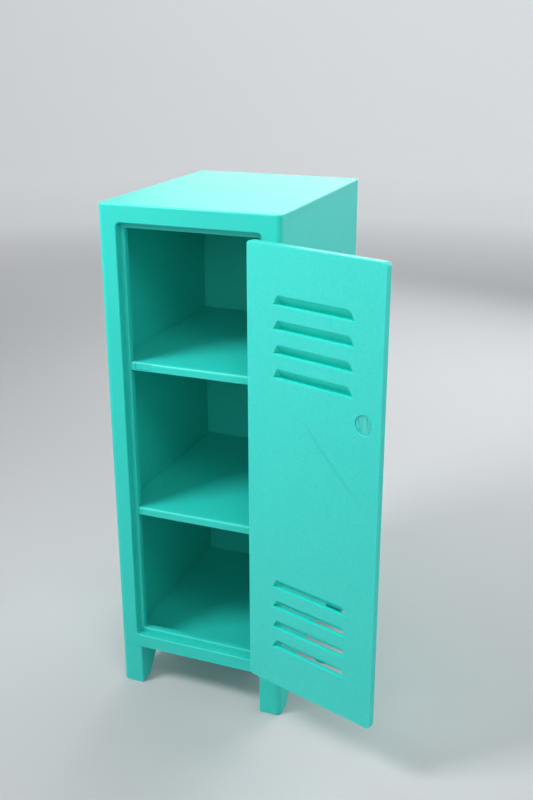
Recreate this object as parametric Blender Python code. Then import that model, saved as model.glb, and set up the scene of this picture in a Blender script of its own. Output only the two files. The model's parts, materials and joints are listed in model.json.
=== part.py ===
"""Miniature school locker, printed in mint plastic: cabinet, two shelves, louvred door on two pinned hinges.

Frame: +Z up, the cabinet faces -Y, and the door swings about a vertical axis in front of its right edge.
Every piece is modelled with the door shut. The door's pieces hang from an empty on the hinge axis.
"""

import math

import bmesh
import bpy

MM = 0.001

# Cabinet
WIDTH = 63.2 * MM
DEPTH = 80.0 * MM
HEIGHT = 180.0 * MM
WALL = 2.0 * MM
BACK_WALL = 4.0 * MM
FOOT_HEIGHT = 16.0 * MM
FOOT_WIDTH = 8.0 * MM
FOOT_SOLE = 6.2 * MM
FOOT_TOP = 18.5 * MM
GAP = 0.3 * MM
FRONT_ROUND = 2.0 * MM
BACK_ROUND = 1.0 * MM

# Front frame: a wide border, with a shallow rebate in front that takes the door
FRAME_DEPTH = 5.2 * MM
BORDER = 8.0 * MM
BORDER_BOTTOM = 6.7 * MM
REBATE_DEPTH = 2.8 * MM
REBATE_SIDE = 6.5 * MM
REBATE_TOP = 6.0 * MM
REBATE_BOTTOM = 5.0 * MM
OPENING_ROUND = 1.4 * MM

# Shelves
SHELVES = 2
SHELF = 3.0 * MM
SHELF_FRONT = 2.9 * MM

# Door
DOOR = 2.6 * MM
DOOR_SIDE_GAP = 0.3 * MM
DOOR_BOTTOM_GAP = 0.3 * MM
DOOR_TOP_GAP = 0.6 * MM
DOOR_ROUND = 1.3 * MM
DOOR_OPEN = math.radians(162.5)

# Hinges: two knuckles on the frame, one on the door, and a pin through all three
HINGE_EDGE_GAP = 0.4 * MM
BARREL = 2.2 * MM
BARREL_CLEAR = 0.2 * MM
BARREL_WEB = 4.8 * MM
WEB_SINK = 0.8 * MM
FRAME_KNUCKLE = 4.0 * MM
DOOR_KNUCKLE = 6.0 * MM
KNUCKLE_GAP = 0.3 * MM
HINGE_SPREAD = 54.0 * MM
PIN = 0.875 * MM
PIN_CLEAR = 0.1 * MM
PIN_HEAD = 1.6 * MM
PIN_HEAD_HEIGHT = 0.8 * MM
PIN_TAIL = 0.6 * MM
ROUND_SIDES = 32

# Louvres: each is a slot that ramps down through the door into a hood, which is open at the bottom
LOUVRE_GROUPS = {"lower": 36.35 * MM, "upper": 132.35 * MM}
LOUVRES = 4
LOUVRE_PITCH = 7.65 * MM
LOUVRE_WIDTH = 29.7 * MM
SLOT = 3.2 * MM
SLOT_FLOOR = 1.3 * MM
SLOT_END_LEAN = 0.57
HOOD_REACH = 2.4 * MM
HOOD_DROP = 1.75 * MM
HOOD_WALL = 1.0 * MM
HOOD_END_LEAN = 0.15
HOOD_ROOT = 1.0 * MM
CUT = 0.4 * MM
SKIN = 0.02 * MM

# Magnet catch
MAGNET = 3.0 * MM
MAGNET_CLEAR = 0.15 * MM
MAGNET_FROM_EDGE = 5.9 * MM
DOOR_MAGNET_HEIGHT = 124.8 * MM
DOOR_MAGNET = 1.4 * MM
DOOR_POCKET = 2.2 * MM
SHELF_MAGNET = 1.9 * MM
SHELF_POCKET = 7.2 * MM
COVER = 0.4 * MM
COVER_SUNK = 0.15 * MM

# Pull on the outside of the door
PULL_HEIGHT = 18.0 * MM
PULL_WIDTH = 3.2 * MM
PULL_BAR = 1.8 * MM
PULL_STAND_OFF = 2.2 * MM
PULL_POST = 3.0 * MM
PULL_FROM_EDGE = 5.9 * MM
PULL_MIDDLE = 100.0 * MM

MINT = (0.058, 0.610, 0.545, 1.0)
NICKEL = (0.62, 0.61, 0.59, 1.0)

# Places that follow from the sizes above
CABINET_BOTTOM = FOOT_HEIGHT
FLOOR_TOP = CABINET_BOTTOM + WALL
CEILING = HEIGHT - WALL
CLEAR_HEIGHT = (CEILING - FLOOR_TOP - SHELVES * SHELF) / (SHELVES + 1)
BACK_FRONT = DEPTH - BACK_WALL
REBATE_LEFT = REBATE_SIDE
REBATE_RIGHT = WIDTH - REBATE_SIDE
REBATE_LOW = CABINET_BOTTOM + REBATE_BOTTOM
REBATE_HIGH = HEIGHT - REBATE_TOP
DOOR_LEFT = REBATE_LEFT + DOOR_SIDE_GAP
DOOR_RIGHT = REBATE_RIGHT - HINGE_EDGE_GAP
DOOR_LOW = REBATE_LOW + DOOR_BOTTOM_GAP
DOOR_HIGH = REBATE_HIGH - DOOR_TOP_GAP
AXIS_X = DOOR_RIGHT
AXIS_Y = -(BARREL + BARREL_CLEAR)
HINGE_MIDDLE = (DOOR_LOW + DOOR_HIGH) / 2
MAGNET_X = DOOR_LEFT + MAGNET_FROM_EDGE
ROOF_SLOPE = (SLOT + HOOD_DROP) / (DOOR + HOOD_REACH)


def swung(x, y):
    """Where a point of the shut door lies, in plan, once the door stands open."""
    across, out = x - AXIS_X, y - AXIS_Y
    turn = (math.cos(DOOR_OPEN), math.sin(DOOR_OPEN))
    return (AXIS_X + across * turn[0] - out * turn[1], AXIS_Y + across * turn[1] + out * turn[0])


def footprint_middle():
    """Middle of the object's plan box with the door open, which is the origin."""
    corners = [swung(DOOR_LEFT, 0.0), swung(DOOR_LEFT, DOOR)]
    right = max(x for x, _ in corners)
    front = min(y for _, y in corners)
    return (right / 2, (front + DEPTH) / 2)


def clear_scene():
    for obj in list(bpy.data.objects):
        bpy.data.objects.remove(obj, do_unlink=True)


def material(name, colour, roughness, metallic):
    made = bpy.data.materials.new(name)
    made.use_nodes = True
    shader = made.node_tree.nodes["Principled BSDF"]
    shader.inputs["Base Color"].default_value = colour
    shader.inputs["Roughness"].default_value = roughness
    shader.inputs["Metallic"].default_value = metallic
    made.diffuse_color = colour
    return made


def empty(name, location, parent=None):
    made = bpy.data.objects.new(name, None)
    bpy.context.collection.objects.link(made)
    made.location = location
    made.parent = parent
    return made


def finish(shape, name, finish_material, parent):
    """Turns a bmesh into an object of the scene, facing out and shaded smooth on its rounds."""
    bmesh.ops.recalc_face_normals(shape, faces=shape.faces[:])
    mesh = bpy.data.meshes.new(name)
    shape.to_mesh(mesh)
    shape.free()
    mesh.shade_smooth()
    mesh.set_sharp_from_angle(angle=math.radians(35))
    made = bpy.data.objects.new(name, mesh)
    bpy.context.collection.objects.link(made)
    made.parent = parent
    if finish_material:
        mesh.materials.append(finish_material)
    return made


def helper(shape, name, parent):
    """A cutter or a blank: it takes part in Booleans only."""
    made = finish(shape, name, None, parent)
    made.hide_render = True
    made.display_type = "WIRE"
    return made


def boolean(obj, other, operation):
    step = obj.modifiers.new(other.name, "BOOLEAN")
    step.operation = operation
    step.object = other


def add_prism(shape, outline, axis, start, end):
    """Extrudes a 2-D outline. Along X it is (y, z), along Y (x, z), along Z (x, y)."""
    place = {
        "X": lambda u, v, w: (w, u, v),
        "Y": lambda u, v, w: (u, w, v),
        "Z": lambda u, v, w: (u, v, w),
    }[axis]
    near = [shape.verts.new(place(u, v, start)) for u, v in outline]
    far = [shape.verts.new(place(u, v, end)) for u, v in outline]
    add_skin(shape, near, far)


def add_skin(shape, near, far):
    """Closes two matching rings of vertices into one body."""
    shape.faces.new(near)
    shape.faces.new(list(reversed(far)))
    for i in range(len(near)):
        j = (i + 1) % len(near)
        shape.faces.new((near[i], far[i], far[j], near[j]))


def add_box(shape, low, high):
    outline = rectangle(low[0], high[0], low[1], high[1])
    add_prism(shape, outline, "Z", low[2], high[2])


def rectangle(left, right, low, high):
    return [(left, low), (right, low), (right, high), (left, high)]


def rounded_rectangle(left, right, low, high, radius, steps=5):
    corners = (
        (right - radius, low + radius, -90),
        (right - radius, high - radius, 0),
        (left + radius, high - radius, 90),
        (left + radius, low + radius, 180),
    )
    points = []
    for u, v, first in corners:
        for step in range(steps + 1):
            turn = math.radians(first + 90 * step / steps)
            points.append((u + radius * math.cos(turn), v + radius * math.sin(turn)))
    return points


def circle(centre, radius, sides=ROUND_SIDES):
    turns = [math.tau * (i + 0.5) / sides for i in range(sides)]
    return [(centre[0] + radius * math.cos(t), centre[1] + radius * math.sin(t)) for t in turns]


def box(name, low, high, finish_material, parent):
    shape = bmesh.new()
    add_box(shape, low, high)
    return finish(shape, name, finish_material, parent)


def plan_outline(front_round, back_round, front, back, steps=4):
    """Plan of the full-width cabinet between two depths, with its outer corners rounded."""
    points = []
    for u, v, first, radius in (
        (WIDTH, front, -90, front_round),
        (WIDTH, back, 0, back_round),
        (0.0, back, 90, back_round),
        (0.0, front, 180, front_round),
    ):
        if not radius:
            points.append((u, v))
            continue
        centre_u = u - radius if u else radius
        centre_v = v + radius if v == front else v - radius
        for step in range(steps + 1):
            turn = math.radians(first + 90 * step / steps)
            points.append((centre_u + radius * math.cos(turn), centre_v + radius * math.sin(turn)))
    return points


# Cabinet pieces


def side_panels(mint, parent):
    back = BACK_FRONT - GAP
    for name, left in (("side_panel_left", 0.0), ("side_panel_right", WIDTH - WALL)):
        low = (left, FRAME_DEPTH + GAP, FLOOR_TOP + GAP)
        box(name, low, (left + WALL, back, CEILING - GAP), mint, parent)


def top_and_base(mint, parent):
    front, back = FRAME_DEPTH + GAP, BACK_FRONT - GAP
    box("top_panel", (0.0, front, CEILING), (WIDTH, back, HEIGHT), mint, parent)
    box("base_panel", (0.0, front, CABINET_BOTTOM), (WIDTH, back, FLOOR_TOP), mint, parent)


def back_panel(mint, parent):
    shape = bmesh.new()
    outline = plan_outline(0.0, BACK_ROUND, BACK_FRONT, DEPTH)
    add_prism(shape, outline, "Z", CABINET_BOTTOM, HEIGHT)
    finish(shape, "back_panel", mint, parent)


def hinge_middles():
    return (HINGE_MIDDLE - HINGE_SPREAD, HINGE_MIDDLE + HINGE_SPREAD)


def frame_knuckle_spans():
    """Heights from and to of each knuckle on the frame."""
    inner = DOOR_KNUCKLE / 2 + KNUCKLE_GAP
    outer = inner + FRAME_KNUCKLE
    for middle in hinge_middles():
        yield middle - outer, middle - inner
        yield middle + inner, middle + outer


def web_outline(side):
    """Plan of the wedge between a barrel and the face it stands on: side is 1 for right, -1 for left."""
    lean = math.radians(50)
    crest = (AXIS_X + side * BARREL * math.cos(lean), AXIS_Y - BARREL * math.sin(lean))
    return [
        (AXIS_X + side * 0.4 * BARREL, AXIS_Y),
        crest,
        (AXIS_X + side * BARREL_WEB, 0.0),
        (AXIS_X + side * BARREL_WEB, WEB_SINK),
        (AXIS_X + side * (HINGE_EDGE_GAP + 0.4 * MM), WEB_SINK),
        (AXIS_X + side * (HINGE_EDGE_GAP + 0.4 * MM), AXIS_Y + 0.5 * BARREL),
    ]


def knuckle_blanks(name, side, spans, parent):
    """The barrels and, apart from them, their webs, as two Boolean blanks."""
    barrels, webs = bmesh.new(), bmesh.new()
    for low, high in spans:
        add_prism(barrels, circle((AXIS_X, AXIS_Y), BARREL), "Z", low, high)
        add_prism(webs, web_outline(side), "Z", low, high)
    return helper(barrels, name + "_barrels", parent), helper(webs, name + "_webs", parent)


def pin_bore(name, spans, parent):
    shape = bmesh.new()
    for low, high in spans:
        add_prism(shape, circle((AXIS_X, AXIS_Y), PIN + PIN_CLEAR), "Z", low - CUT, high + CUT)
    return helper(shape, name, parent)


def front_frame(mint, parent):
    shape = bmesh.new()
    outline = plan_outline(FRONT_ROUND, 0.0, 0.0, FRAME_DEPTH)
    add_prism(shape, outline, "Z", CABINET_BOTTOM, HEIGHT)
    frame = finish(shape, "front_frame", mint, parent)
    spans = list(frame_knuckle_spans())
    barrels, webs = knuckle_blanks("frame_knuckle", 1, spans, parent)
    boolean(frame, webs, "UNION")
    boolean(frame, barrels, "UNION")
    rebate = bmesh.new()
    outline = rounded_rectangle(REBATE_LEFT, REBATE_RIGHT, REBATE_LOW, REBATE_HIGH, OPENING_ROUND)
    add_prism(rebate, outline, "Y", -SKIN, REBATE_DEPTH)
    boolean(frame, helper(rebate, "rebate_cutter", parent), "DIFFERENCE")
    through = bmesh.new()
    left, right = BORDER, WIDTH - BORDER
    low, high = CABINET_BOTTOM + BORDER_BOTTOM, HEIGHT - BORDER
    outline = rounded_rectangle(left, right, low, high, OPENING_ROUND / 2)
    add_prism(through, outline, "Y", REBATE_DEPTH - CUT, FRAME_DEPTH + CUT)
    boolean(frame, helper(through, "opening_cutter", parent), "DIFFERENCE")
    boolean(frame, pin_bore("frame_bores", spans, parent), "DIFFERENCE")


def feet(mint, parent):
    """Each foot is flush with the cabinet's face and rounded with it, and leans in towards the sole."""
    plan = bmesh.new()
    outline = plan_outline(FRONT_ROUND, BACK_ROUND, 0.0, DEPTH)
    add_prism(plan, outline, "Z", -CUT, FOOT_HEIGHT)
    rounds = helper(plan, "cabinet_plan", parent)
    top = FOOT_HEIGHT - GAP
    profile = [(0.0, 0.0), (FOOT_SOLE, 0.0), (FOOT_TOP, top), (0.0, top)]
    mirrored = [(DEPTH - y, z) for y, z in profile]
    for depth_name, outline in (("front", profile), ("rear", mirrored)):
        for side_name, left in (("left", 0.0), ("right", WIDTH - FOOT_WIDTH)):
            shape = bmesh.new()
            add_prism(shape, outline, "X", left, left + FOOT_WIDTH)
            foot = finish(shape, f"foot_{depth_name}_{side_name}", mint, parent)
            boolean(foot, rounds, "INTERSECT")


def shelf_top(index):
    return FLOOR_TOP + (index + 1) * (CLEAR_HEIGHT + SHELF)


def shelf(name, index, mint, parent):
    """A plate that fills the cabinet, with a tongue that reaches forward through the frame."""
    inner = WALL + GAP
    tongue = BORDER + GAP
    back, step, front = BACK_FRONT - GAP, FRAME_DEPTH + GAP, SHELF_FRONT
    outline = [
        (inner, back), (inner, step), (tongue, step), (tongue, front),
        (WIDTH - tongue, front), (WIDTH - tongue, step), (WIDTH - inner, step), (WIDTH - inner, back),
    ]
    shape = bmesh.new()
    high = shelf_top(index)
    add_prism(shape, outline, "Z", high - SHELF, high)
    return finish(shape, name, mint, parent)


def shelves(mint, parent):
    shelf("shelf_lower", 0, mint, parent)
    upper = shelf("shelf_upper", 1, mint, parent)
    half_width = MAGNET + MAGNET_CLEAR
    half_height = SHELF_MAGNET / 2 + MAGNET_CLEAR
    middle = shelf_top(1) - SHELF / 2
    slot = bmesh.new()
    low = (MAGNET_X - half_width, SHELF_FRONT - CUT, middle - half_height)
    high = (MAGNET_X + half_width, SHELF_FRONT + SHELF_POCKET, middle + half_height)
    add_box(slot, low, high)
    boolean(upper, helper(slot, "shelf_slot_cutter", parent), "DIFFERENCE")


# Door pieces


def louvre_floors():
    for first in LOUVRE_GROUPS.values():
        for index in range(LOUVRES):
            yield first + index * LOUVRE_PITCH


def roof(depth, floor):
    """Height of a hood's inner slope at a depth, which runs out and down from the slot's top edge."""
    return floor + SLOT - ROOF_SLOPE * (DOOR - depth)


def add_louvre(shape, profile, floor, wall):
    """A (y, z) profile drawn across the door, with its ends leaning in upwards and outwards."""
    middle = (DOOR_LEFT + DOOR_RIGHT) / 2
    rings = []
    for side in (-1, 1):
        ring = []
        for y, z in profile:
            lean = SLOT_END_LEAN * (z - floor) + HOOD_END_LEAN * (DOOR - y)
            ring.append(shape.verts.new((middle + side * (LOUVRE_WIDTH / 2 + wall - lean), y, z)))
        rings.append(ring)
    add_skin(shape, rings[0], rings[1])


def louvre_blanks(parent):
    """All hoods as one blank, and all the hollows under them as one cutter."""
    hoods, hollows = bmesh.new(), bmesh.new()
    rise = HOOD_WALL * math.hypot(1.0, ROOF_SLOPE)
    tip = -(HOOD_REACH + HOOD_WALL)
    for floor in louvre_floors():
        lip = floor - HOOD_DROP
        outer = [
            (HOOD_ROOT, lip),
            (HOOD_ROOT, roof(HOOD_ROOT, floor) + rise),
            (tip, roof(tip, floor) + rise),
            (tip, lip),
        ]
        add_louvre(hoods, outer, floor, HOOD_WALL)
        inner = [
            (DOOR + CUT, floor),
            (DOOR + CUT, roof(DOOR + CUT, floor)),
            (-HOOD_REACH, roof(-HOOD_REACH, floor)),
            (-HOOD_REACH, lip - CUT),
            (-SKIN, lip - CUT),
            (-SKIN, floor - (DOOR - SLOT_FLOOR)),
            (DOOR - SLOT_FLOOR, floor),
        ]
        add_louvre(hollows, inner, floor, 0.0)
    return helper(hoods, "hood_blanks", parent), helper(hollows, "hood_hollows", parent)


def door_panel(mint, parent):
    shape = bmesh.new()
    outline = rounded_rectangle(DOOR_LEFT, DOOR_RIGHT, DOOR_LOW, DOOR_HIGH, DOOR_ROUND)
    add_prism(shape, outline, "Y", 0.0, DOOR)
    door = finish(shape, "door_panel", mint, parent)
    half = DOOR_KNUCKLE / 2
    spans = [(middle - half, middle + half) for middle in hinge_middles()]
    barrels, webs = knuckle_blanks("door_knuckle", -1, spans, parent)
    hoods, hollows = louvre_blanks(parent)
    boolean(door, webs, "UNION")
    boolean(door, barrels, "UNION")
    boolean(door, hoods, "UNION")
    boolean(door, hollows, "DIFFERENCE")
    boolean(door, pin_bore("door_bores", spans, parent), "DIFFERENCE")
    pocket = bmesh.new()
    outline = circle((MAGNET_X, DOOR_MAGNET_HEIGHT), MAGNET + MAGNET_CLEAR)
    add_prism(pocket, outline, "Y", DOOR - DOOR_POCKET, DOOR + CUT)
    boolean(door, helper(pocket, "door_pocket_cutter", parent), "DIFFERENCE")


def door_catch(mint, nickel, parent):
    """A disc magnet at the bottom of the door's pocket, and the printed cover that closes the pocket."""
    centre = (MAGNET_X, DOOR_MAGNET_HEIGHT)
    cover_face = DOOR - COVER_SUNK
    for name, back, thick, finish_material in (
        ("door_magnet_cover", cover_face - COVER, COVER, mint),
        ("door_magnet", DOOR - DOOR_POCKET + MAGNET_CLEAR, DOOR_MAGNET, nickel),
    ):
        shape = bmesh.new()
        add_prism(shape, circle(centre, MAGNET), "Y", back, back + thick)
        finish(shape, name, finish_material, parent)


def shelf_catch(mint, nickel, parent):
    """The shelf's magnet lies flat in a slot in the shelf's front edge, behind a printed cover."""
    middle = shelf_top(1) - SHELF / 2
    cover_face = SHELF_FRONT + COVER_SUNK
    half_height = SHELF_MAGNET / 2
    low = (MAGNET_X - MAGNET, cover_face, middle - half_height)
    high = (MAGNET_X + MAGNET, cover_face + COVER, middle + half_height)
    box("shelf_magnet_cover", low, high, mint, parent)
    centre = (MAGNET_X, cover_face + COVER + MAGNET_CLEAR + MAGNET)
    shape = bmesh.new()
    add_prism(shape, circle(centre, MAGNET), "Z", middle - half_height, middle + half_height)
    finish(shape, "shelf_magnet", nickel, parent)


def hinge_pins(mint, parent):
    """Each pin hangs by its head on the upper frame knuckle and is turned as one profile."""
    reach = DOOR_KNUCKLE / 2 + KNUCKLE_GAP + FRAME_KNUCKLE
    for name, middle in zip(("hinge_pin_lower", "hinge_pin_upper"), hinge_middles()):
        head = middle + reach + PIN_CLEAR
        rings = (
            (PIN * 0.8, middle - reach - PIN_TAIL),
            (PIN, middle - reach - PIN_TAIL + 0.2 * MM),
            (PIN, head),
            (PIN_HEAD, head),
            (PIN_HEAD, head + PIN_HEAD_HEIGHT * 0.6),
            (PIN_HEAD * 0.7, head + PIN_HEAD_HEIGHT),
        )
        shape = bmesh.new()
        turned = []
        for radius, height in rings:
            points = circle((AXIS_X, AXIS_Y), radius)
            turned.append([shape.verts.new((x, y, height)) for x, y in points])
        shape.faces.new(turned[0])
        shape.faces.new(list(reversed(turned[-1])))
        for lower, upper in zip(turned, turned[1:]):
            for i in range(ROUND_SIDES):
                j = (i + 1) % ROUND_SIDES
                shape.faces.new((lower[i], upper[i], upper[j], lower[j]))
        finish(shape, name, mint, parent)


def door_pull(mint, parent):
    """A bar on two posts, standing on the outside of the door beside its free edge."""
    low, high = PULL_MIDDLE - PULL_HEIGHT / 2, PULL_MIDDLE + PULL_HEIGHT / 2
    face, under = -GAP, -(GAP + PULL_STAND_OFF)
    front = under - PULL_BAR
    slope = PULL_BAR * 0.6
    profile = [
        (face, low), (face, low + PULL_POST), (under, low + PULL_POST), (under, high - PULL_POST),
        (face, high - PULL_POST), (face, high), (under, high), (front, high - slope),
        (front, low + slope), (under, low),
    ]
    middle = DOOR_LEFT + PULL_FROM_EDGE
    shape = bmesh.new()
    add_prism(shape, profile, "X", middle - PULL_WIDTH / 2, middle + PULL_WIDTH / 2)
    finish(shape, "door_pull", mint, parent)


def build():
    clear_scene()
    mint = material("mint_print", MINT, 0.5, 0.0)
    nickel = material("nickel_plate", NICKEL, 0.25, 1.0)
    middle_x, middle_y = footprint_middle()
    cabinet = empty("cabinet", (-middle_x, -middle_y, 0.0))
    hinge = empty("door_hinge_axis", (AXIS_X, AXIS_Y, 0.0), cabinet)
    door = empty("door_shut_frame", (-AXIS_X, -AXIS_Y, 0.0), hinge)
    hinge.rotation_euler = (0.0, 0.0, DOOR_OPEN)
    side_panels(mint, cabinet)
    top_and_base(mint, cabinet)
    back_panel(mint, cabinet)
    front_frame(mint, cabinet)
    feet(mint, cabinet)
    shelves(mint, cabinet)
    shelf_catch(mint, nickel, cabinet)
    hinge_pins(mint, cabinet)
    door_panel(mint, door)
    door_catch(mint, nickel, door)
    door_pull(mint, door)


build()
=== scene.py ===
import json
import math
import random

import bmesh
import bpy
from mathutils import Matrix, Vector


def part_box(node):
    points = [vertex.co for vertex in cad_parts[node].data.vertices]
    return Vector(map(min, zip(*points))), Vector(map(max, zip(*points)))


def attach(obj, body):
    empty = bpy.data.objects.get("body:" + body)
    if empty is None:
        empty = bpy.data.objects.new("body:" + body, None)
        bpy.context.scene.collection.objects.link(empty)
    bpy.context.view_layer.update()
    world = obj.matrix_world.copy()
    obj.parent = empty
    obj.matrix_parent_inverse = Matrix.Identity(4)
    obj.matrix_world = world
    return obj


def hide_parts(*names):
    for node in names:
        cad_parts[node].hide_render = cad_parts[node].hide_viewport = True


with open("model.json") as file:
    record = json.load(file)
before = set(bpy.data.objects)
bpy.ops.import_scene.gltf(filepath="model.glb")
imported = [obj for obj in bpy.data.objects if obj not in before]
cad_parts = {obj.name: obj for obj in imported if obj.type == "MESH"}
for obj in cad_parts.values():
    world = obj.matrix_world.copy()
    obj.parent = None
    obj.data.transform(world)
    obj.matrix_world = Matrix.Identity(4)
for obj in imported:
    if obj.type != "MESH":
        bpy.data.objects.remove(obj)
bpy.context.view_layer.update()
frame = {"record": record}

mm = 0.001
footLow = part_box("foot_front_left")[0]
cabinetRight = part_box("side_panel_right")[1].x
corner = Vector((footLow.x, footLow.y, 0.0))  # the cabinet's front left corner on the floor
hinge = frame["record"]["behaviour"]["joints"][0]
hingePoint = Vector((hinge["pos_m"][0], hinge["pos_m"][1], 0.0))
openAngle = math.radians(-hinge["range_deg"][0])
swing = Matrix.Rotation(openAngle, 4, "Z")
doorTurn = Matrix.Translation(hingePoint) @ swing @ Matrix.Translation(-hingePoint)

# Sizes in millimetres, from the cabinet's front left corner: x to the right, y to the back, z up
cabinet = {
    "width": (cabinetRight - corner.x) / mm,
    "depth": (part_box("back_panel")[1].y - corner.y) / mm,
    "height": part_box("top_panel")[1].z / mm,
    "bottom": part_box("base_panel")[0].z / mm,
    "floor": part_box("base_panel")[1].z / mm,
    "ceiling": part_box("top_panel")[0].z / mm,
    "wall": (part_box("side_panel_left")[1].x - corner.x) / mm,
    "backFront": (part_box("back_panel")[0].y - corner.y) / mm,
    "frontRound": 2.0,
    "backRound": 1.0,
    "topRound": 0.5,
    "seam": 0.012,  # what is left of the gap between two printed pieces
}
shelfSizes = {
    "thick": 3.0,
    "front": (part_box("shelf_lower")[0].y - corner.y) / mm,
    "noseRound": 0.85,
    "underRound": 0.35,
}
frontFrame = {
    "depth": 5.2,
    "border": 8.0,
    "borderBottom": 6.7,
    "rebateDepth": 2.8,
    "rebateSide": 6.5,
    "rebateTop": 6.0,
    "rebateBottom": 5.0,
    "rebateCorner": 1.4,
    "openingCorner": 0.8,
    "faceRound": 0.45,
    "ledgeRound": 0.45,
}
footSizes = {
    "width": 8.0,
    "height": 16.0,
    "sole": 6.2,
    "top": 18.5,
    "edgeRound": 0.9,
    "soleRound": 0.75,
}
doorSizes = {
    "left": 6.8,
    "right": 56.3,
    "low": 21.3,
    "high": 173.4,
    "thick": 2.6,
    "corner": 1.3,
    "edgeRound": 0.28,
}
louvres = {
    "floors": [first + index * 7.65 for first in (36.35, 132.35) for index in range(4)],
    "width": 29.7,
    "height": 3.2,
    "floorDepth": 1.3,
    "lean": 0.57,
    "outLean": 0.15,
    "reach": 2.4,
    "drop": 1.75,
    "skin": 1.0,
    "topRound": 1.15,
    "layer": 0.25,
    "riser": 0.004,
    "below": 0.6,  # how far the hollow is cut past the hood's lower edge
    "tipLength": 0.3,
    "tipEase": 0.22,
}
catch = {
    "fromEdge": 5.9,
    "height": 124.8,
    "radius": 3.0,
    "seatRadius": 3.08,
    "sunk": 0.34,
    "rimRound": 0.22,
    "magnetThick": 1.4,
    "shelfMagnet": 1.9,
    "slotGap": 0.12,
    "slotRound": 0.18,
    "coverThick": 0.4,
    "coverRound": 0.08,
    "slotDepth": 7.2,
    "seatDepth": 2.2,
    "seatGap": 0.15,
    "strandSpread": 2.35,  # half the width that the strands cover
    "strandTurns": 2.7,  # how far from the middle they turn back
    "strandStray": 0.08,
    "strandRadius": 0.085,
    "strands": 12,
}
hingeSizes = {
    "x": (hingePoint.x - corner.x) / mm,
    "y": (hingePoint.y - corner.y) / mm,
    "barrel": 2.2,
    "web": 4.8,
    "webLean": 50.0,
    "webTop": (0.3, 0.2),  # where the wedge starts and ends inside the barrel, from its axis
    "webFoot": (0.8, 1.1),
    "webInset": 0.15,
    "sink": 0.8,
    "doorKnuckle": 6.0,
    "frameKnuckle": 4.0,
    "gap": 0.3,
    "spread": 54.0,
    "bore": 0.975,
    "pin": 0.875,
    "head": 1.6,
    "headHeight": 0.8,
    "headRim": 0.2,
    "headBevel": 0.15,
    "tipBevel": 0.3,
    "tail": 0.6,
    "edgeRound": 0.3,
}
pull = {
    "height": 18.0,
    "width": 3.2,
    "bar": 1.8,
    "standOff": 2.5,
    "post": 3.0,
    "fromEdge": 5.9,
    "middle": 100.0,
    "edgeRound": 0.35,
}
doorMiddle = (doorSizes["low"] + doorSizes["high"]) / 2
magnetX = doorSizes["left"] + catch["fromEdge"]


# Materials


class Field:
    # a node's output: arithmetic on it adds Math nodes
    def __init__(self, tree, socket):
        self.tree = tree
        self.socket = socket

    def maths(self, operation, *others):
        return self.tree.add("ShaderNodeMath", {"operation": operation}, dict(enumerate((self, *others))))

    def reversedMaths(self, operation, other):
        return self.tree.add("ShaderNodeMath", {"operation": operation}, {0: other, 1: self})

    def __add__(self, other):
        return self.maths("ADD", other)

    def __radd__(self, other):
        return self.maths("ADD", other)

    def __sub__(self, other):
        return self.maths("SUBTRACT", other)

    def __rsub__(self, other):
        return self.reversedMaths("SUBTRACT", other)

    def __mul__(self, other):
        return self.maths("MULTIPLY", other)

    def __rmul__(self, other):
        return self.maths("MULTIPLY", other)

    def __truediv__(self, other):
        return self.maths("DIVIDE", other)

    def __rtruediv__(self, other):
        return self.reversedMaths("DIVIDE", other)

    def sine(self):
        return self.maths("SINE")

    def clamped(self):
        return self.maths("MINIMUM", 1.0).maths("MAXIMUM", 0.0)


class Finish:
    def __init__(self, name):
        self.material = bpy.data.materials.new(name)
        self.material.use_nodes = True
        self.nodes = self.material.node_tree.nodes
        self.links = self.material.node_tree.links
        self.shader = self.nodes["Principled BSDF"]

    def add(self, kind, settings=None, values=None, output=0):
        node = self.nodes.new(kind)
        for name, value in (settings or {}).items():
            setattr(node, name, value)
        for name, value in (values or {}).items():
            self.feed(node.inputs[name], value)
        fields = [Field(self, socket) for socket in node.outputs]
        return fields if output == "all" else fields[output]

    def feed(self, socket, value):
        if isinstance(value, Field):
            self.links.new(value.socket, socket)
        else:
            socket.default_value = value

    def surface(self, **inputs):
        for name, value in inputs.items():
            self.feed(self.shader.inputs[name.replace("_", " ")], value)

    def place(self):
        return self.add("ShaderNodeTexCoord", output=3)  # the object's own coordinates

    def split(self, vector):
        return self.add("ShaderNodeSeparateXYZ", {}, {0: vector}, "all")

    def noise(self, vector, scale, detail=2.0, roughness=0.5):
        cells = self.stretched(vector, scale)
        values = {"Vector": cells, "Scale": 1.0, "Detail": detail, "Roughness": roughness}
        return self.add("ShaderNodeTexNoise", {}, values)

    def stretched(self, vector, scale):
        # scale is how many of a pattern's cells fit in a metre, on each axis or on all three
        scales = scale if isinstance(scale, tuple) else (scale,) * 3
        return self.add("ShaderNodeVectorMath", {"operation": "MULTIPLY"}, {0: vector, 1: scales})

    def mixed(self, factor, first, second):
        # sockets 0, 6 and 7 are a colour mix's factor and its two colours, and output 2 its result
        return self.add("ShaderNodeMix", {"data_type": "RGBA"}, {0: factor, 6: first, 7: second}, 2)

    def bump(self, height, distance):
        values = {"Height": height, "Distance": distance, "Strength": 1.0}
        return self.add("ShaderNodeBump", {}, values)


def dimmed(colour, amount):
    return tuple(channel * amount for channel in colour[:3]) + (1.0,)


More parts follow.
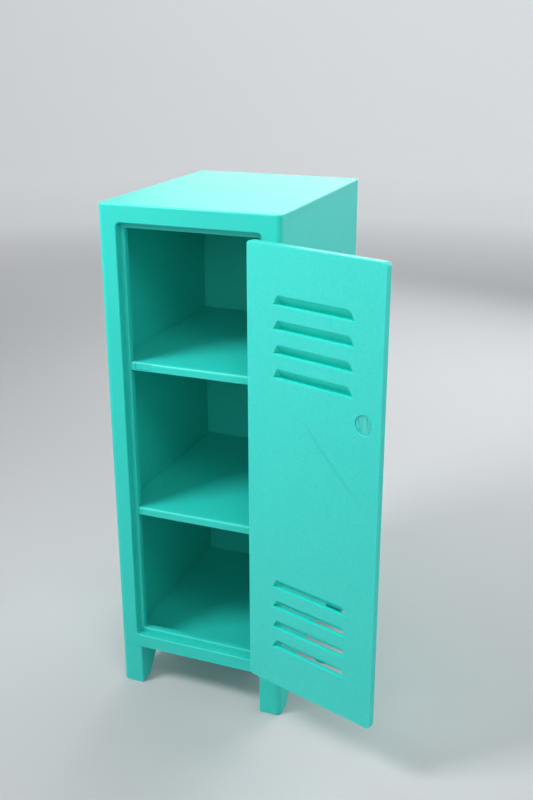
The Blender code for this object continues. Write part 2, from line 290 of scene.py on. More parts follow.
printLook = {
    "colour": (0.021, 0.640, 0.562, 1.0),
    # brighter and more saturated than the print colour: painted glow in the hoods and slots, for light
    # passing through the thin hoods
    "hoodGlowColour": (0.008, 0.800, 0.700, 1.0),
    "shading": 0.92,
    "plateGlintColour": (0.070, 0.690, 0.630, 1.0),  # painted highlights: a lighter colour for the grains of a face printed on a textured plate, standing in for light caught by their tips
    "roughness": 0.50,
    "refraction": 1.52,
    "layer": 0.2 * mm,
    "layerDepth": 0.014 * mm,
    "grainDepth": 0.010 * mm,
    "plateDepth": 0.060 * mm,
    "passWidth": 0.6 * mm,
    "scatter": 1.1 * mm,
    "hoodScatter": 1.5 * mm,  # light comes through the thin hoods
    "radius": (0.25, 1.0, 0.9),
}
# how many cells of each pattern fit in a metre
printScales = {
    "wobble": 60.0,
    "uneven": 900.0,
    "acrossLayers": 2400.0,
    "alongLayers": 25.0,
    "broad": 35.0,
    "grit": 3300.0,
    "coarse": 1500.0,
}


def printedFinish(name, stack, speckle=0.0, faceLines=0.0, colour="colour", scatter="scatter"):
    # stack is the axis along which the print's layers lie on each other
    look, scales = printLook, printScales
    finish = Finish(name)
    place = finish.place()
    axes = finish.split(place)
    along = axes["XYZ".index(stack)]
    streaks = tuple(scales["acrossLayers" if axis == stack else "alongLayers"] for axis in "XYZ")
    wobble = finish.noise(place, scales["wobble"])
    uneven = finish.noise(place, scales["uneven"], 3.0)
    rows = (along * (math.tau / look["layer"]) + wobble * 2.0).sine() * 0.5 + 0.5
    drift = finish.noise(place, streaks, 2.0)
    height = rows * look["layerDepth"] + drift * (look["layerDepth"] * 2.2) + uneven * look["grainDepth"]
    if faceLines:
        # the top skin is laid in diagonal passes
        diagonal = (axes[0] + axes[2]) * (math.tau / look["passWidth"])
        passes = (diagonal + wobble * 3.0).sine() * 0.5 + 0.5
        height = height + passes * (look["layerDepth"] * faceLines)
    broad = finish.noise(place, scales["broad"], 3.0)
    mixing = (broad * 0.7 + drift * 0.9 - 0.3).clamped()
    plain = look[colour]
    tone = finish.mixed(mixing, dimmed(plain, look["shading"]), plain)
    if speckle:
        grit = finish.noise(place, scales["grit"], 2.0, 0.7)
        coarse = finish.noise(place, scales["coarse"], 1.0)
        height = height + (grit * 0.7 + coarse * 0.4) * (look["plateDepth"] * speckle)
        # the grit noise paints lighter flecks, painted highlights on the plate's tiny bumps, on top of their
        # real bump
        grainGlints = ((grit * 0.8 + coarse * 0.3 - 0.55) * 2.7 + 0.45).clamped()
        tone = finish.mixed(grainGlints * speckle, tone, look["plateGlintColour"])
    roughness = uneven * 0.10 + drift * 0.06 + (look["roughness"] - 0.08)
    finish.surface(Base_Color=tone, Roughness=roughness, IOR=look["refraction"])
    finish.surface(Subsurface_Weight=1.0, Subsurface_Scale=look[scatter], Subsurface_Radius=look["radius"])
    finish.surface(Normal=finish.bump(height, 1.0))
    finish.material.diffuse_color = look["colour"]
    return finish.material


nickelLook = {
    "dull": (0.56, 0.55, 0.53, 1.0),
    "bright": (0.68, 0.67, 0.65, 1.0),
    "scuffs": (400.0, 400.0, 1800.0),
    "scuffDepth": 0.01 * mm,
}


def nickelFinish():
    finish = Finish("nickelPlate")
    place = finish.place()
    scuffs = finish.noise(place, nickelLook["scuffs"], 3.0)
    finish.surface(Base_Color=finish.mixed(scuffs, nickelLook["dull"], nickelLook["bright"]))
    finish.surface(Metallic=1.0, Roughness=scuffs * 0.2 + 0.15)
    finish.surface(Normal=finish.bump(scuffs, nickelLook["scuffDepth"]))
    return finish.material


def floorFinish():
    finish = Finish("studioFloor")
    place = finish.place()
    mottle = finish.noise(place, studio["mottle"], 3.0)
    pale = studio["floorColour"]
    finish.surface(Base_Color=finish.mixed(mottle, pale, dimmed(pale, 0.98)), Roughness=0.75)
    # the far floor and the sweep glow a little, which keeps the backdrop pale on every side
    x, y, _ = finish.split(place)
    rise = ((x * x + y * y) / studio["glowReach"] ** 2).clamped()
    glow = finish.mixed(rise, (0.0, 0.0, 0.0, 1.0), studio["glowColour"])
    finish.surface(Emission_Color=glow, Emission_Strength=studio["wallGlow"])
    return finish.material


# Mesh helpers. Shapes are drawn in millimetres and turned into metres at the end.

sharpAngle = math.radians(40.0)
tiny = 1e-4  # millimetres, for finding and merging points


def loft(shape, loops):
    # joins loops of equal length into a closed skin with flat ends
    rings = [[shape.verts.new(point) for point in loop] for loop in loops]
    shape.faces.new(rings[0])
    shape.faces.new(list(reversed(rings[-1])))
    for first, second in zip(rings, rings[1:]):
        for i in range(len(first)):
            j = (i + 1) % len(first)
            shape.faces.new((first[i], second[i], second[j], first[j]))


def roundedRectangle(left, right, low, high, radius, steps=6):
    radii = radius if isinstance(radius, tuple) else (radius,) * 4
    corners = (
        (right, low, -1, 1, -90, radii[0]),
        (right, high, -1, -1, 0, radii[1]),
        (left, high, 1, -1, 90, radii[2]),
        (left, low, 1, 1, 180, radii[3]),
    )
    points = []
    for u, v, inU, inV, first, r in corners:
        if r <= 0.0:
            points.append((u, v))
            continue
        for step in range(steps + 1):
            turn = math.radians(first + 90 * step / steps)
            points.append((u + inU * r + r * math.cos(turn), v + inV * r + r * math.sin(turn)))
    return points


def roundedOutline(points, radii, steps=5):
    # rounds each corner of a polygon by its own radius
    made = []
    count = len(points)
    for i, (point, radius) in enumerate(zip(points, radii)):
        here = Vector(point)
        if radius <= 0.0:
            made.append(tuple(here))
            continue
        before = (Vector(points[i - 1]) - here).normalized()
        after = (Vector(points[(i + 1) % count]) - here).normalized()
        half = before.angle(after) / 2
        reach = radius / math.tan(half)
        centre = here + (before + after).normalized() * (radius / math.sin(half))
        start = here + before * reach - centre
        end = here + after * reach - centre
        sweep = start.angle_signed(end)
        for step in range(steps + 1):
            turn = -sweep * step / steps
            c, s = math.cos(turn), math.sin(turn)
            made.append((centre.x + start.x * c - start.y * s, centre.y + start.x * s + start.y * c))
    return made


def circle(x, y, radius, sides=64):
    turns = [math.tau * (i + 0.5) / sides for i in range(sides)]
    return [(x + radius * math.cos(turn), y + radius * math.sin(turn)) for turn in turns]


def onAxis(outline, axis, place):
    if axis == "X":
        return [(place, u, v) for u, v in outline]
    if axis == "Y":
        return [(u, place, v) for u, v in outline]
    return [(u, v, place) for u, v in outline]


def prism(outline, axis, start, end):
    shape = bmesh.new()
    loft(shape, [onAxis(outline, axis, start), onAxis(outline, axis, end)])
    return shape


def block(low, high):
    outline = [(low[0], low[1]), (high[0], low[1]), (high[0], high[1]), (low[0], high[1])]
    return prism(outline, "Z", low[2], high[2])


def roundEdges(shape, chosen, radius, segments=4):
    edges = [edge for edge in shape.edges if chosen(edge)]
    if edges:
        bmesh.ops.bevel(
            shape, geom=edges, offset=radius, segments=segments, profile=0.5,
            affect="EDGES", clamp_overlap=True,
        )


def edgeAt(**limits):
    # picks the edges whose ends both lie on the planes named, such as z=0
    def chosen(edge):
        for axis, value in limits.items():
            index = "xyz".index(axis)
            if any(abs(vert.co[index] - value) > tiny for vert in edge.verts):
                return False
        return True
    return chosen


def asMesh(shape, name):
    bmesh.ops.recalc_face_normals(shape, faces=shape.faces[:])
    mesh = bpy.data.meshes.new(name)
    shape.to_mesh(mesh)
    shape.free()
    return mesh


def combine(body, steps):
    # applies (operation, shape) Booleans in turn and returns the result as a bmesh
    base = bpy.data.objects.new("base", asMesh(body, "base"))
    bpy.context.collection.objects.link(base)
    helpers = []
    for operation, shape in steps:
        other = bpy.data.objects.new("helper", asMesh(shape, "helper"))
        bpy.context.collection.objects.link(other)
        helpers.append(other)
        step = base.modifiers.new("step", "BOOLEAN")
        step.operation = operation
        step.object = other
        step.solver = "EXACT"
    graph = bpy.context.evaluated_depsgraph_get()
    result = bmesh.new()
    result.from_mesh(base.evaluated_get(graph).to_mesh())
    for made in [base, *helpers]:
        bpy.data.objects.remove(made, do_unlink=True)
    bmesh.ops.remove_doubles(result, verts=result.verts[:], dist=tiny)
    bmesh.ops.dissolve_degenerate(result, edges=result.edges[:], dist=tiny)
    return result


def shown(shape, name, material, body, *nodes):
    # turns a shape in millimetres into a smooth-shaded piece that rides on its body
    mesh = asMesh(shape, name)
    mesh.transform(Matrix.Translation(corner) @ Matrix.Scale(mm, 4))
    if body == "door":
        mesh.transform(doorTurn)
    mesh.shade_smooth()
    mesh.set_sharp_from_angle(angle=sharpAngle)
    mesh.materials.append(material)
    piece = bpy.data.objects.new(name, mesh)
    bpy.context.collection.objects.link(piece)
    weigh = piece.modifiers.new("facesFlat", "WEIGHTED_NORMAL")
    weigh.keep_sharp = True
    weigh.weight = 100
    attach(piece, body)
    if nodes:
        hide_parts(*nodes)
    return piece


cabinetPrint = printedFinish("mintPrintCabinet", "Y")
frontPrint = printedFinish("mintPrintFront", "Y", faceLines=0.8)
doorPrint = printedFinish("mintPrintDoor", "Y", speckle=1.0)
# the hoods' finish: a real wider scatter plus a brighter colour that paints the glow of light coming through
# them
hoodPrint = printedFinish("mintPrintHoodPaintedGlow", "Y", colour="hoodGlowColour", scatter="hoodScatter")
nickel = nickelFinish()
print("finishes made")


# Cabinet


def sidePanels():
    c = cabinet
    walls = (
        ("sideWallLeft", "side_panel_left", 0.0),
        ("sideWallRight", "side_panel_right", c["width"] - c["wall"]),
    )
    for name, node, left in walls:
        low = (left, frontFrame["depth"] + c["seam"], c["floor"] + c["seam"])
        high = (left + c["wall"], c["backFront"] - c["seam"], c["ceiling"] - c["seam"])
        shown(block(low, high), name, cabinetPrint, "cabinet", node)


def topAndBase():
    c = cabinet
    front, back = frontFrame["depth"] + c["seam"], c["backFront"] - c["seam"]
    roof = block((0.0, front, c["ceiling"]), (c["width"], back, c["height"]))
    for x in (0.0, c["width"]):
        roundEdges(roof, edgeAt(x=x, z=c["height"]), c["topRound"])
    shown(roof, "roof", cabinetPrint, "cabinet", "top_panel")
    base = block((0.0, front, c["bottom"]), (c["width"], back, c["floor"]))
    for x in (0.0, c["width"]):
        roundEdges(base, edgeAt(x=x, z=c["bottom"]), c["topRound"])
    shown(base, "cabinetFloor", cabinetPrint, "cabinet", "base_panel")


def backWall():
    c = cabinet
    rounds = (0.0, c["backRound"], c["backRound"], 0.0)
    outline = roundedRectangle(0.0, c["width"], c["backFront"], c["depth"], rounds)
    shape = prism(outline, "Z", c["bottom"], c["height"])
    inside = c["backFront"]
    for z in (c["bottom"], c["height"]):
        onRim = edgeAt(z=z)
        roundEdges(shape, lambda edge: onRim(edge) and not edgeAt(y=inside)(edge), c["topRound"])
    shown(shape, "backWall", cabinetPrint, "cabinet", "back_panel")


def flaredCutter(left, right, low, high, radius, depth, start, flare, steps=6):
    # a rounded hole whose mouth opens in a quarter round
    def outlineAt(grow, y):
        outline = roundedRectangle(left - grow, right + grow, low - grow, high + grow, radius + grow)
        return onAxis(outline, "Y", y)

    loops = [outlineAt(flare, start - 0.3)]
    for step in range(steps + 1):
        turn = math.pi / 2 * step / steps
        loops.append(outlineAt(flare * (1 - math.sin(turn)), start + flare * (1 - math.cos(turn))))
    loops.append(outlineAt(0.0, depth))
    shape = bmesh.new()
    loft(shape, loops)
    return shape


def hingeMiddles():
    return doorMiddle - hingeSizes["spread"], doorMiddle + hingeSizes["spread"]


def knuckle(side, low, high):
    # one barrel with the wedge that ties it to its face
    h = hingeSizes
    x, y, r = h["x"], h["y"], h["barrel"]
    edge = h["edgeRound"]
    barrel = bmesh.new()
    ease = edge * 0.3
    bottom = [(r - edge, low), (r - ease, low + ease), (r, low + edge)]
    top = [(r, high - edge), (r - ease, high - ease), (r - edge, high)]
    loft(barrel, [onAxis(circle(x, y, radius, 48), "Z", z) for radius, z in bottom + top])
    lean = math.radians(h["webLean"])
    wedge = [
        (x + side * h["webTop"][0], y + h["webTop"][1]),
        (x + side * r * math.cos(lean), y - r * math.sin(lean)),
        (x + side * h["web"], 0.0),
        (x + side * h["web"], h["sink"]),
        (x + side * h["webFoot"][0], h["sink"]),
        (x + side * h["webFoot"][0], y + h["webFoot"][1]),
    ]
    if side < 0:
        wedge.reverse()
    web = prism(wedge, "Z", low + h["webInset"], high - h["webInset"])
    return [("UNION", web), ("UNION", barrel)]


def boreSteps(low, high):
    h = hingeSizes
    return [("DIFFERENCE", prism(circle(h["x"], h["y"], h["bore"], 32), "Z", low - 0.5, high + 0.5))]


def frontRing():
    c, f, h = cabinet, frontFrame, hingeSizes
    rounds = (c["frontRound"], 0.0, 0.0, c["frontRound"])
    outline = roundedRectangle(0.0, c["width"], 0.0, f["depth"], rounds, 8)
    shape = prism(outline, "Z", c["bottom"], c["height"])
    for z in (c["bottom"], c["height"]):
        onRim = edgeAt(z=z)
        roundEdges(shape, lambda edge: onRim(edge) and not edgeAt(y=f["depth"])(edge), c["topRound"])
    steps = []
    inner = h["doorKnuckle"] / 2 + h["gap"]
    spans = []
    for middle in hingeMiddles():
        spans.append((middle - inner - h["frameKnuckle"], middle - inner))
        spans.append((middle + inner, middle + inner + h["frameKnuckle"]))
    for low, high in spans:
        steps += knuckle(1, low, high)
    rebate = flaredCutter(
        f["rebateSide"], c["width"] - f["rebateSide"], c["bottom"] + f["rebateBottom"],
        c["height"] - f["rebateTop"], f["rebateCorner"], f["rebateDepth"], 0.0, f["faceRound"],
    )
    opening = flaredCutter(
        f["border"], c["width"] - f["border"], c["bottom"] + f["borderBottom"],
        c["height"] - f["border"], f["openingCorner"], f["depth"] + 0.5, f["rebateDepth"], f["ledgeRound"],
    )
    steps += [("DIFFERENCE", rebate), ("DIFFERENCE", opening)]
    for low, high in spans:
        steps += boreSteps(low, high)
    shown(combine(shape, steps), "frontRing", frontPrint, "cabinet", "front_frame")


def onSlope(edge):
    # the two long edges of a foot's sloping face
    ends = [vert.co for vert in edge.verts]
    tall = abs(ends[0].z - ends[1].z) > footSizes["height"] / 2
    return tall and max(end.y for end in ends) > footSizes["sole"] + 1.0


def feet():
    c, f = cabinet, footSizes
    top = f["height"] - c["seam"]
    profile = [(0.0, 0.0), (f["sole"], 0.0), (f["top"], top), (0.0, top)]
    for depthName, rear in (("Front", False), ("Rear", True)):
        for sideName, right in (("Left", False), ("Right", True)):
            left = c["width"] - f["width"] if right else 0.0
            shape = bmesh.new()
            loft(shape, [onAxis(profile, "X", left), onAxis(profile, "X", left + f["width"])])
            outer = left + f["width"] if right else left
            inner = left if right else left + f["width"]
            roundEdges(shape, edgeAt(x=outer, y=0.0), c["backRound"] if rear else c["frontRound"], 7)
            roundEdges(shape, edgeAt(x=inner, y=0.0), f["edgeRound"] * 0.6, 4)
            roundEdges(shape, onSlope, f["edgeRound"] * 0.7)
            roundEdges(shape, edgeAt(z=0.0), f["soleRound"] * 0.66, 4)
            if rear:
                for vert in shape.verts:
                    vert.co.y = c["depth"] - vert.co.y
            name = "foot_%s_%s" % (depthName.lower(), sideName.lower())
            shown(shape, "foot" + depthName + sideName, cabinetPrint, "cabinet", name)


def shelves():
    c, s, f = cabinet, shelfSizes, frontFrame
    for name, node in (("shelfLower", "shelf_lower"), ("shelfUpper", "shelf_upper")):
        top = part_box(node)[1].z / mm
        low = top - s["thick"]
        gap = c["seam"]
        inner = c["wall"] + gap
        tongue = f["border"] + gap
        back = c["backFront"] - gap
        plate = block((inner, f["depth"] + gap, low), (c["width"] - inner, back, top))
        nose = roundedOutline(
            [(s["front"], low), (f["depth"] + 1.5, low), (f["depth"] + 1.5, top), (s["front"], top)],
            [s["underRound"], 0.0, 0.0, s["noseRound"]],
        )
        tip = prism(nose, "X", tongue, c["width"] - tongue)
        steps = [("UNION", tip)]
        if node == "shelf_upper":
            middle = (top + low) / 2
            half = catch["shelfMagnet"] / 2 + catch["slotGap"]
            wide = catch["radius"] + catch["slotGap"]
            left, right = magnetX - wide, magnetX + wide
            slot = roundedRectangle(left, right, middle - half, middle + half, catch["slotRound"], 3)
            steps.append(("DIFFERENCE", prism(slot, "Y", s["front"] - 1.0, s["front"] + catch["slotDepth"])))
        shown(combine(plate, steps), name, cabinetPrint, "cabinet", node)


def shelfCatch():
    s = shelfSizes
    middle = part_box("shelf_upper")[1].z / mm - s["thick"] / 2
    half = catch["shelfMagnet"] / 2
    face = s["front"] + catch["slotGap"]
    left, right = magnetX - catch["radius"], magnetX + catch["radius"]
    outline = roundedRectangle(left, right, middle - half, middle + half, 0.15, 3)
    cover = prism(outline, "Y", face, face + catch["coverThick"])
    roundEdges(cover, edgeAt(y=face), catch["coverRound"], 2)
    shown(cover, "shelfCatchCover", cabinetPrint, "cabinet", "shelf_magnet_cover")
    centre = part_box("shelf_magnet")
    middleY = ((centre[0].y + centre[1].y) / 2 - corner.y) / mm
    disc = disk(magnetX, middleY, middle, "Z", catch["radius"], catch["shelfMagnet"])
    shown(disc, "shelfDisc", nickel, "cabinet", "shelf_magnet")


def disk(u, v, w, axis, radius, thick, edge=0.15):
    shape = bmesh.new()
    half = thick / 2
    rings = ((radius - edge, -half), (radius, edge - half), (radius, half - edge), (radius - edge, half))
    loft(shape, [onAxis(circle(u, v, r), axis, w + offset) for r, offset in rings])
    return shape


def hingePins():
    h = hingeSizes
    reach = h["doorKnuckle"] / 2 + h["gap"] + h["frameKnuckle"]
    pins = (("pinLower", "hinge_pin_lower"), ("pinUpper", "hinge_pin_upper"))
    for (name, node), middle in zip(pins, hingeMiddles()):
        head = middle + reach + 0.1
        foot = middle - reach - h["tail"]
        rings = [(h["pin"] * 0.55, foot), (h["pin"], foot + h["tipBevel"]), (h["pin"], head)]
        rings += [(h["head"] - h["headBevel"], head), (h["head"], head + h["headBevel"] * 0.8)]
        steps = 7
        for step in range(steps):
            turn = math.pi / 2 * step / steps
            dome = (h["headHeight"] - h["headRim"]) * math.sin(turn)
            rings.append((h["head"] * math.cos(turn), head + h["headRim"] + dome))
        shape = bmesh.new()
        loft(shape, [onAxis(circle(h["x"], h["y"], radius, 40), "Z", z) for radius, z in rings])
        shown(shape, name, cabinetPrint, "cabinet", node)


sidePanels()
topAndBase()
backWall()
frontRing()
feet()
shelves()
shelfCatch()
hingePins()
print("cabinet built")


# Door, drawn shut and then swung open


roofSlope = (louvres["height"] + louvres["drop"]) / (doorSizes["thick"] + louvres["reach"])


def roofAt(y, floor):
    # the height of a hood's inner roof
    return floor + louvres["height"] - roofSlope * (doorSizes["thick"] - y)


def louvreOutline(y, floor, low, high, grow, cornerRound):
    # an upright trapezoid across the door, its top corners rounded
    l = louvres
    middle = (doorSizes["left"] + doorSizes["right"]) / 2

    def side(z):
        return l["width"] / 2 + grow - l["lean"] * (z - floor) - l["outLean"] * (doorSizes["thick"] - y)

    wide, narrow = side(low), side(high)
    points = [(middle - wide, low), (middle + wide, low), (middle + narrow, high), (middle - narrow, high)]
    reach = max(0.02, min(cornerRound, (high - low) * 0.6))
    return onAxis(roundedOutline(points, [0.0, 0.0, reach, reach], 6), "Y", y)


def hood(floor):
    # the outer shape, which slopes down to a lip in front of the door
    l = louvres
    rise = l["skin"] * math.hypot(1.0, roofSlope)
    lip = floor - l["drop"]
    tip = -(l["reach"] + l["skin"])
    loops = []
    for y in (1.0, 0.0, -0.6, -1.2, -1.8, -2.4, -2.9, tip + 0.25, tip):
        ease = l["tipEase"] * max(0.0, tip + l["tipLength"] - y) / l["tipLength"]
        high = roofAt(y, floor) + rise - ease
        loops.append(louvreOutline(y, floor, lip + ease, high, l["skin"], l["topRound"] + 0.5))
    shape = bmesh.new()
    loft(shape, loops)
    return shape


def hollow(floor):
    # stepped, as the layers under the hood are
    l, thick = louvres, doorSizes["thick"]
    lip = floor - l["drop"]
    stations = []
    y = thick
    while y > -l["reach"] + tiny:
        following = max(y - l["layer"], -l["reach"])
        stations.append((y, following))
        y = following
    loops = [louvreOutline(thick + 0.4, floor, floor, roofAt(thick, floor), 0.0, l["topRound"])]
    for start, end in stations:
        high = roofAt((start + end) / 2, floor)
        for y in (start - l["riser"], end + l["riser"]):
            if y > thick - l["floorDepth"]:
                low = floor
            elif y > 0.0:
                low = floor - (thick - l["floorDepth"] - y)
            else:
                low = lip - l["below"]
            loops.append(louvreOutline(y, floor, low, high, 0.0, l["topRound"]))
    shape = bmesh.new()
    loft(shape, loops)
    return shape


def doorLeaf():
    d, h, l = doorSizes, hingeSizes, louvres
    loops = []
    edge, thick = d["edgeRound"], d["thick"]
    outside = [(edge, 0.0), (edge * 0.3, edge * 0.3), (0.0, edge)]
    inside = [(0.0, thick - edge * 0.7), (edge * 0.2, thick - edge * 0.2), (edge * 0.7, thick)]
    for inset, y in outside + inside:
        left, right = d["left"] + inset, d["right"] - inset
        outline = roundedRectangle(left, right, d["low"] + inset, d["high"] - inset, d["corner"] - inset)
        loops.append(onAxis(outline, "Y", y))
    leaf = bmesh.new()
    loft(leaf, loops)
    half = h["doorKnuckle"] / 2
    steps = []
    for middle in hingeMiddles():
        steps += knuckle(-1, middle - half, middle + half)
    steps += [("UNION", hood(floor)) for floor in l["floors"]]
    steps += [("DIFFERENCE", hollow(floor)) for floor in l["floors"]]
    for middle in hingeMiddles():
        steps += boreSteps(middle - half, middle + half)
    steps.append(("DIFFERENCE", catchSeat()))
    leaf = combine(leaf, steps)
    for face in leaf.faces:
        # the hoods and slot insides take the second finish, whose brighter colour is painted glow
        face.material_index = 1 if inHood(face.calc_center_median()) else 0
    shown(leaf, "doorLeaf", doorPrint, "door", "door_panel").data.materials.append(hoodPrint)


def inHood(point):
    # the slots' insides and the hoods, but not the door's two flat faces
    l, d = louvres, doorSizes
    margin, off = 0.1, 0.02
    across = abs(point.x - (d["left"] + d["right"]) / 2) < l["width"] / 2 + l["skin"] + margin * 2
    heights = [point.z - floor for floor in l["floors"]]
    beside = any(-l["drop"] - margin < height < l["height"] + margin for height in heights)
    return across and beside and point.y < d["thick"] - margin / 2 and abs(point.y) > off


def catchSeat():
    k, thick = catch, doorSizes["thick"]
    rim = k["rimRound"]
    rings = [(k["seatRadius"] + rim, thick + 0.3), (k["seatRadius"] + rim, thick)]
    for step in range(1, 5):
        turn = math.pi / 2 * step / 4
        rings.append((k["seatRadius"] + rim * (1 - math.sin(turn)), thick - rim * (1 - math.cos(turn))))
    rings.append((k["seatRadius"], thick - k["seatDepth"]))
    shape = bmesh.new()
    loft(shape, [onAxis(circle(magnetX, k["height"], radius), "Y", y) for radius, y in rings])
    return shape


def catchCover():
    # the thin skin over the magnet, bridged in back-and-forth strands
    k, thick = catch, doorSizes["thick"]
    face = thick - k["sunk"]
    middle = face - k["coverThick"] / 2
    cover = disk(magnetX, k["height"], middle, "Y", k["radius"] + 0.05, k["coverThick"], 0.05)
    shown(cover, "catchCover", doorPrint, "door", "door_magnet_cover")
    strand = bmesh.new()
    random.seed(4)
    path = []
    count, spread, turns = k["strands"], k["strandSpread"], k["strandTurns"]
    for index in range(count + 1):
        across = spread * (2 * index / count - 1)
        reach = math.sqrt(max(0.0, turns ** 2 - across ** 2)) * random.uniform(0.86, 0.98)
        up = reach if index % 2 else -reach
        shift = random.uniform(-k["strandStray"], k["strandStray"])
        path.append(Vector((magnetX + across + shift, face + 0.02, k["height"] + up)))
    tube(strand, path, k["strandRadius"], 8)
    shown(strand, "catchStrand", doorPrint, "door")
    seat = thick - k["seatDepth"] + k["seatGap"] + k["magnetThick"] / 2
    disc = disk(magnetX, k["height"], seat, "Y", k["radius"], k["magnetThick"])
    shown(disc, "doorDisc", nickel, "door", "door_magnet")


def tube(shape, path, radius, sides):
    # a round bar along a path
    ring = [math.tau * side / sides for side in range(sides)]
    around = [Vector((radius * math.cos(turn), radius * math.sin(turn), 0.0)) for turn in ring]
    loops = []
    for index, point in enumerate(path):
        ahead = path[min(index + 1, len(path) - 1)] - path[max(index - 1, 0)]
        turn = ahead.to_track_quat("Z", "Y")
        loops.append([point + turn @ offset for offset in around])
    loft(shape, loops)


def doorHandle():
    d, p = doorSizes, pull
    low, high = p["middle"] - p["height"] / 2, p["middle"] + p["height"] / 2
    face, under = -0.012, -p["standOff"]
    front = under - p["bar"]
    slope = p["bar"] * 0.6
    post = p["post"]
    profile = [
        (face, low), (face, low + post), (under, low + post), (under, high - post), (face, high - post),
        (face, high), (under, high), (front, high - slope), (front, low + slope), (under, low),
    ]
    radii = [0.0, 0.0, 0.5, 0.5, 0.0, 0.0, 0.5, 0.5, 0.5, 0.5]
    middle = d["left"] + p["fromEdge"]
    half = p["width"] / 2
    shape = prism(roundedOutline(profile, radii, 4), "X", middle - half, middle + half)
    rims = [edgeAt(x=middle - half), edgeAt(x=middle + half)]
    onFace = edgeAt(y=face)
    roundEdges(shape, lambda edge: any(rim(edge) for rim in rims) and not onFace(edge), p["edgeRound"], 3)
    shown(shape, "doorHandle", doorPrint, "door", "door_pull")


strays = {
    "edgeBlob": {"body": "door", "at": (6.76, 1.5, 70.6), "size": (0.20, 0.42, 0.34)},
    "roofBlob": {"body": "cabinet", "at": (62.95, 8.0, 179.72), "size": (0.22, 0.60, 0.24)},
}
plateLine = {
    "corners": [(33.7, 120.4), (28.4, 113.7), (20.4, 106.0), (12.0, 98.1)],  # x and z
    "sunk": 0.045,
    "radius": 0.08,
}
sag = {"from": 32.0, "to": 27.8, "above": 0.75, "drop": 0.62, "radius": 0.34, "y": -1.75}


def strayBits():
    # what the printer leaves: two blobs, a line on the door's inner face, a strand in the lowest louvre
    for name, stray in strays.items():
        blob = bmesh.new()
        bmesh.ops.create_icosphere(blob, subdivisions=3, radius=1.0)
        for vert in blob.verts:
            vert.co = Vector(x * y for x, y in zip(vert.co, stray["size"])) + Vector(stray["at"])
        shown(blob, name, doorPrint if stray["body"] == "door" else cabinetPrint, stray["body"])
    line = bmesh.new()
    level = doorSizes["thick"] - plateLine["sunk"]
    tube(line, [Vector((x, level, z)) for x, z in plateLine["corners"]], plateLine["radius"], 8)
    shown(line, "plateLine", doorPrint, "door")
    strand = bmesh.new()
    lip = louvres["floors"][0] - louvres["drop"]
    path = []
    for step in range(9):
        part = step / 8
        low = sag["drop"] * math.sin(math.pi * part)
        across = sag["from"] + (sag["to"] - sag["from"]) * part
        path.append(Vector((across, sag["y"], lip + sag["above"] - low)))
    tube(strand, path, sag["radius"], 10)
    shown(strand, "louvreStrand", hoodPrint, "door")


doorLeaf()
catchCover()
doorHandle()
strayBits()
print("door built")


# Floor, light and camera

# metres from the object's origin, watts and degrees
studio = {
    "floorRadius": 1.3,
    "sweepRadius": 0.7,
    "wallHeight": 2.2,
    "sides": 96,
    "sweepSteps": 16,
    "mottle": 9.0,
    "floorColour": (0.56, 0.57, 0.58, 1.0),
    "wallGlow": 0.30,
    "glowReach": 0.95,
    "glowColour": (0.96, 0.98, 1.0, 1.0),
    "world": (0.90, 0.95, 1.0, 1.0),
    "worldStrength": 0.05,
    "lights": {
        "keyLeft": {
            "at": (-0.20, -0.21, 0.38), "towards": (-0.01, 0.0, 0.12),
            "size": (0.12, 0.12), "power": 0.51, "spread": 120.0,
        },
        "keyRight": {
            "at": (0.14, -0.21, 0.37), "towards": (0.0, 0.0, 0.12),
            "size": (0.12, 0.12), "power": 0.13, "spread": 120.0,
        },
        "lowLight": {
            "at": (0.16, -0.62, 0.36), "towards": (0.01, 0.0, 0.16),
            "size": (0.25, 0.25), "power": 0.045, "spread": 50.0,
        },
        "sideLight": {
            "at": (0.40, 0.10, 0.42), "towards": (0.0, 0.0, 0.14),
            "size": (0.25, 0.25), "power": 0.16, "spread": 120.0,
        },
        "backLight": {
            "at": (0.14, 0.60, 0.31), "towards": (0.0, 0.0, 0.15),
            "size": (0.60, 0.20), "power": 1.65, "spread": 140.0,
        },
        "topSheen": {
            "at": (-0.22, 0.62, 0.31), "towards": (-0.02, 0.0, 0.18),
            "size": (0.30, 0.16), "power": 0.22, "spread": 90.0,
        },
        "backdropLight": {
            "at": (0.0, 0.8, 1.4), "towards": (0.0, 2.0, 0.4),
            "size": (1.8, 0.5), "power": 6.0, "spread": 140.0,
        },
    },
}
view = {
    "eye": (171.33, -286.2, 235.34),  # millimetres from the cabinet's front left corner
    "yaw": 21.547,
    "pitch": -20.45,
    "roll": -0.14,
    "lens": 46.21,
}


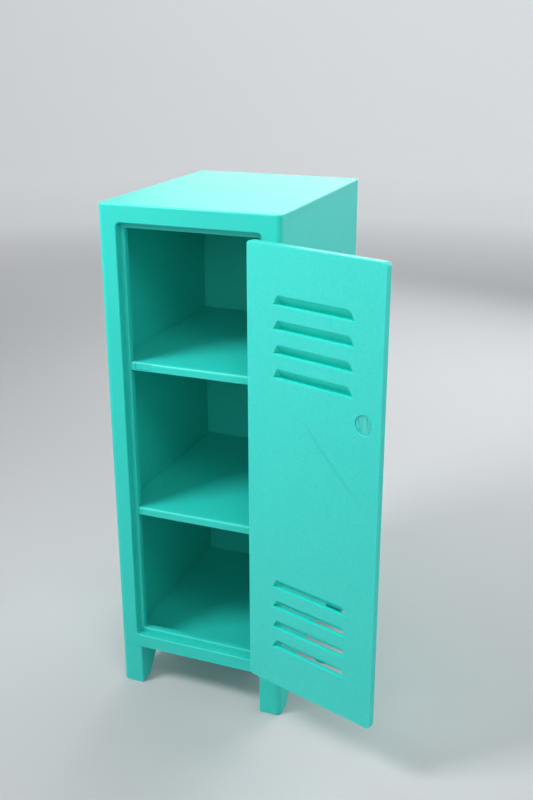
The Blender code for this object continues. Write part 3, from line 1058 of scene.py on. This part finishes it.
def makeFloor():
    # a round floor that sweeps up into a pale wall on every side
    flat, sweep = studio["floorRadius"], studio["sweepRadius"]
    sides, steps = studio["sides"], studio["sweepSteps"]
    rings = [(flat, 0.0)]
    for step in range(1, steps + 1):
        turn = math.pi / 2 * step / steps
        rings.append((flat + sweep * math.sin(turn), sweep * (1 - math.cos(turn))))
    rings.append((flat + sweep, studio["wallHeight"]))
    shape = bmesh.new()
    centre = shape.verts.new((0.0, 0.0, 0.0))
    loops = []
    for radius, z in rings:
        loops.append([shape.verts.new((x, y, z)) for x, y in circle(0.0, 0.0, radius, sides)])
    for i in range(sides):
        j = (i + 1) % sides
        shape.faces.new((centre, loops[0][i], loops[0][j]))
        for inner, outer in zip(loops, loops[1:]):
            shape.faces.new((inner[i], outer[i], outer[j], inner[j]))
    mesh = bpy.data.meshes.new("studioFloor")
    shape.to_mesh(mesh)
    shape.free()
    mesh.shade_smooth()
    mesh.materials.append(floorFinish())
    floor = bpy.data.objects.new("studioFloor", mesh)
    bpy.context.collection.objects.link(floor)


def makeLights():
    for name, light in studio["lights"].items():
        data = bpy.data.lights.new(name, "AREA")
        data.shape = "RECTANGLE"
        data.size, data.size_y = light["size"]
        data.energy = light["power"]
        data.spread = math.radians(light["spread"])
        lamp = bpy.data.objects.new(name, data)
        ahead = Vector(light["towards"]) - Vector(light["at"])
        lamp.location = light["at"]
        lamp.rotation_euler = ahead.to_track_quat("-Z", "Y").to_euler()
        lamp.visible_camera = False
        bpy.context.collection.objects.link(lamp)


def makeCamera():
    data = bpy.data.cameras.new("camera")
    data.sensor_width = 36.0
    data.lens = view["lens"]
    data.clip_start = 0.01
    camera = bpy.data.objects.new("camera", data)
    yaw, pitch, roll = (math.radians(view[name]) for name in ("yaw", "pitch", "roll"))
    ahead = Vector((-math.sin(yaw) * math.cos(pitch), math.cos(yaw) * math.cos(pitch), math.sin(pitch)))
    right = Vector((math.cos(yaw), math.sin(yaw), 0.0))
    up = right.cross(ahead)
    right, up = right * math.cos(roll) + up * math.sin(roll), up * math.cos(roll) - right * math.sin(roll)
    turn = Matrix((right, up, -ahead)).transposed().to_4x4()
    camera.matrix_world = Matrix.Translation(corner + Vector(view["eye"]) * mm) @ turn
    bpy.context.collection.objects.link(camera)
    bpy.context.scene.camera = camera


def makeWorld():
    world = bpy.data.worlds.new("studio")
    bpy.context.scene.world = world
    world.use_nodes = True
    sky = world.node_tree.nodes["Background"]
    sky.inputs["Color"].default_value = studio["world"]
    sky.inputs["Strength"].default_value = studio["worldStrength"]


makeFloor()
makeLights()
makeWorld()
bpy.context.scene.view_settings.view_transform = "Standard"
makeCamera()
print("studio set")
